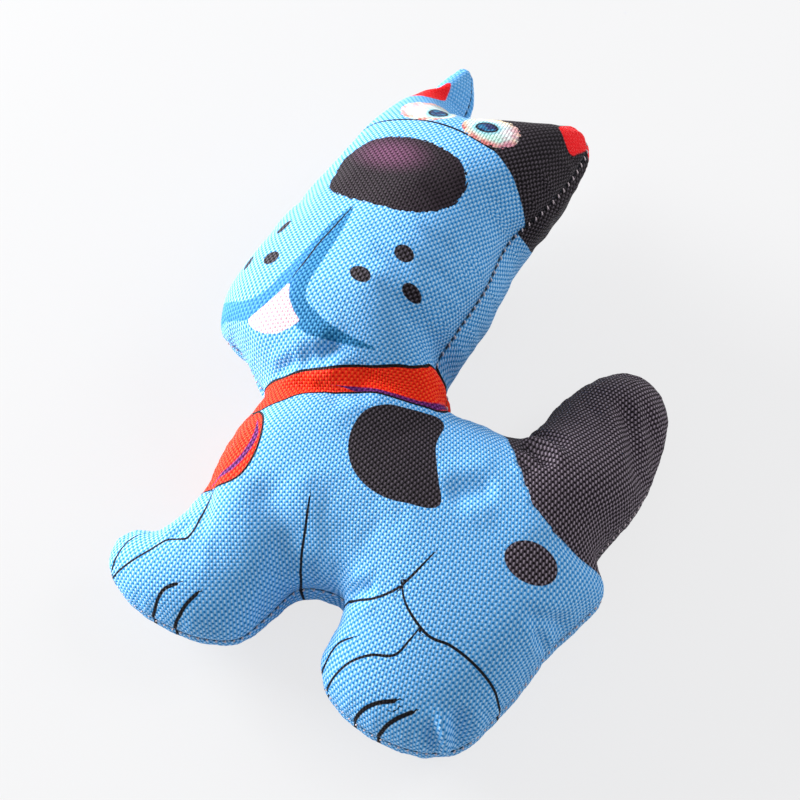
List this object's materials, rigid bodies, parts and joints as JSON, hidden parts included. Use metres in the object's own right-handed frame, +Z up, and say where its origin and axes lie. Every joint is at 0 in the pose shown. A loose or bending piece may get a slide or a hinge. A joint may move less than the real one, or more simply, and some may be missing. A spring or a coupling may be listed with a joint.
{
  "type": "squeaky dog toy",
  "caption": "Flat stuffed dog-shaped pet toy in printed woven cloth, with a bellows squeaker in a pocket inside the body.",
  "frame": {"origin": "middle of the footprint, on the surface that the toy lies on, under its back panel", "axes": "+Z up out of the printed front, +Y from the feet to the ears, +X from the chest towards the tail"},
  "size_m": [0.1284, 0.181, 0.0578],
  "materials": {
    "front_cloth": "printed plain-weave polyester",
    "back_cloth": "printed plain-weave polyester",
    "fibre_filling": "polyester fibre stuffing",
    "hard_plastic": "moulded polystyrene",
    "soft_plastic": "translucent blow-moulded polyethylene",
    "reed_film": "thin plastic film"
  },
  "bodies": {
    "body": {"front_cover": "front_cloth", "back_cover": "back_cloth", "body_filling": "fibre_filling", "front_leg_filling": "fibre_filling", "hind_leg_filling": "fibre_filling", "squeaker_base": "hard_plastic", "squeaker_bellows": "soft_plastic", "reed_holder": "hard_plastic", "reed_clip": "hard_plastic"},
    "head": {"head_filling": "fibre_filling", "left_ear_filling": "fibre_filling", "right_ear_filling": "fibre_filling"},
    "tail": {"tail_filling": "fibre_filling"},
    "squeaker_press": {"squeaker_top": "soft_plastic"},
    "reed": {"reed": "reed_film"}
  },
  "joints": [
    {"name": "neck_twist", "type": "hinge", "parent": "body", "child": "head", "pos_m": [-0.01659, -0.01567, 0.028], "axis": [-0.2588, 0.9659, 0], "range_deg": [-10, 40], "stiffness_Nm_per_rad": 0.15, "deforming": ["front_cover", "back_cover"]},
    {"name": "tail_wag", "type": "hinge", "parent": "body", "child": "tail", "pos_m": [0.04241, -0.01393, 0.02035], "axis": [0, 0, 1], "range_deg": [-18, 18], "stiffness_Nm_per_rad": 0.05, "deforming": ["front_cover", "back_cover"]},
    {"name": "squeak_press", "type": "slide", "parent": "body", "child": "squeaker_press", "axis": [0, 0, -1], "range_m": [0, 0.007], "stiffness_N_per_m": 400, "deforming": ["squeaker_bellows"]},
    {"name": "reed_flutter", "type": "hinge", "parent": "body", "child": "reed", "pos_m": [0.00241, -0.03315, 0.0088], "axis": [1, 0, 0], "range_deg": [-6, 3], "stiffness_Nm_per_rad": 0.0005}
  ]
}
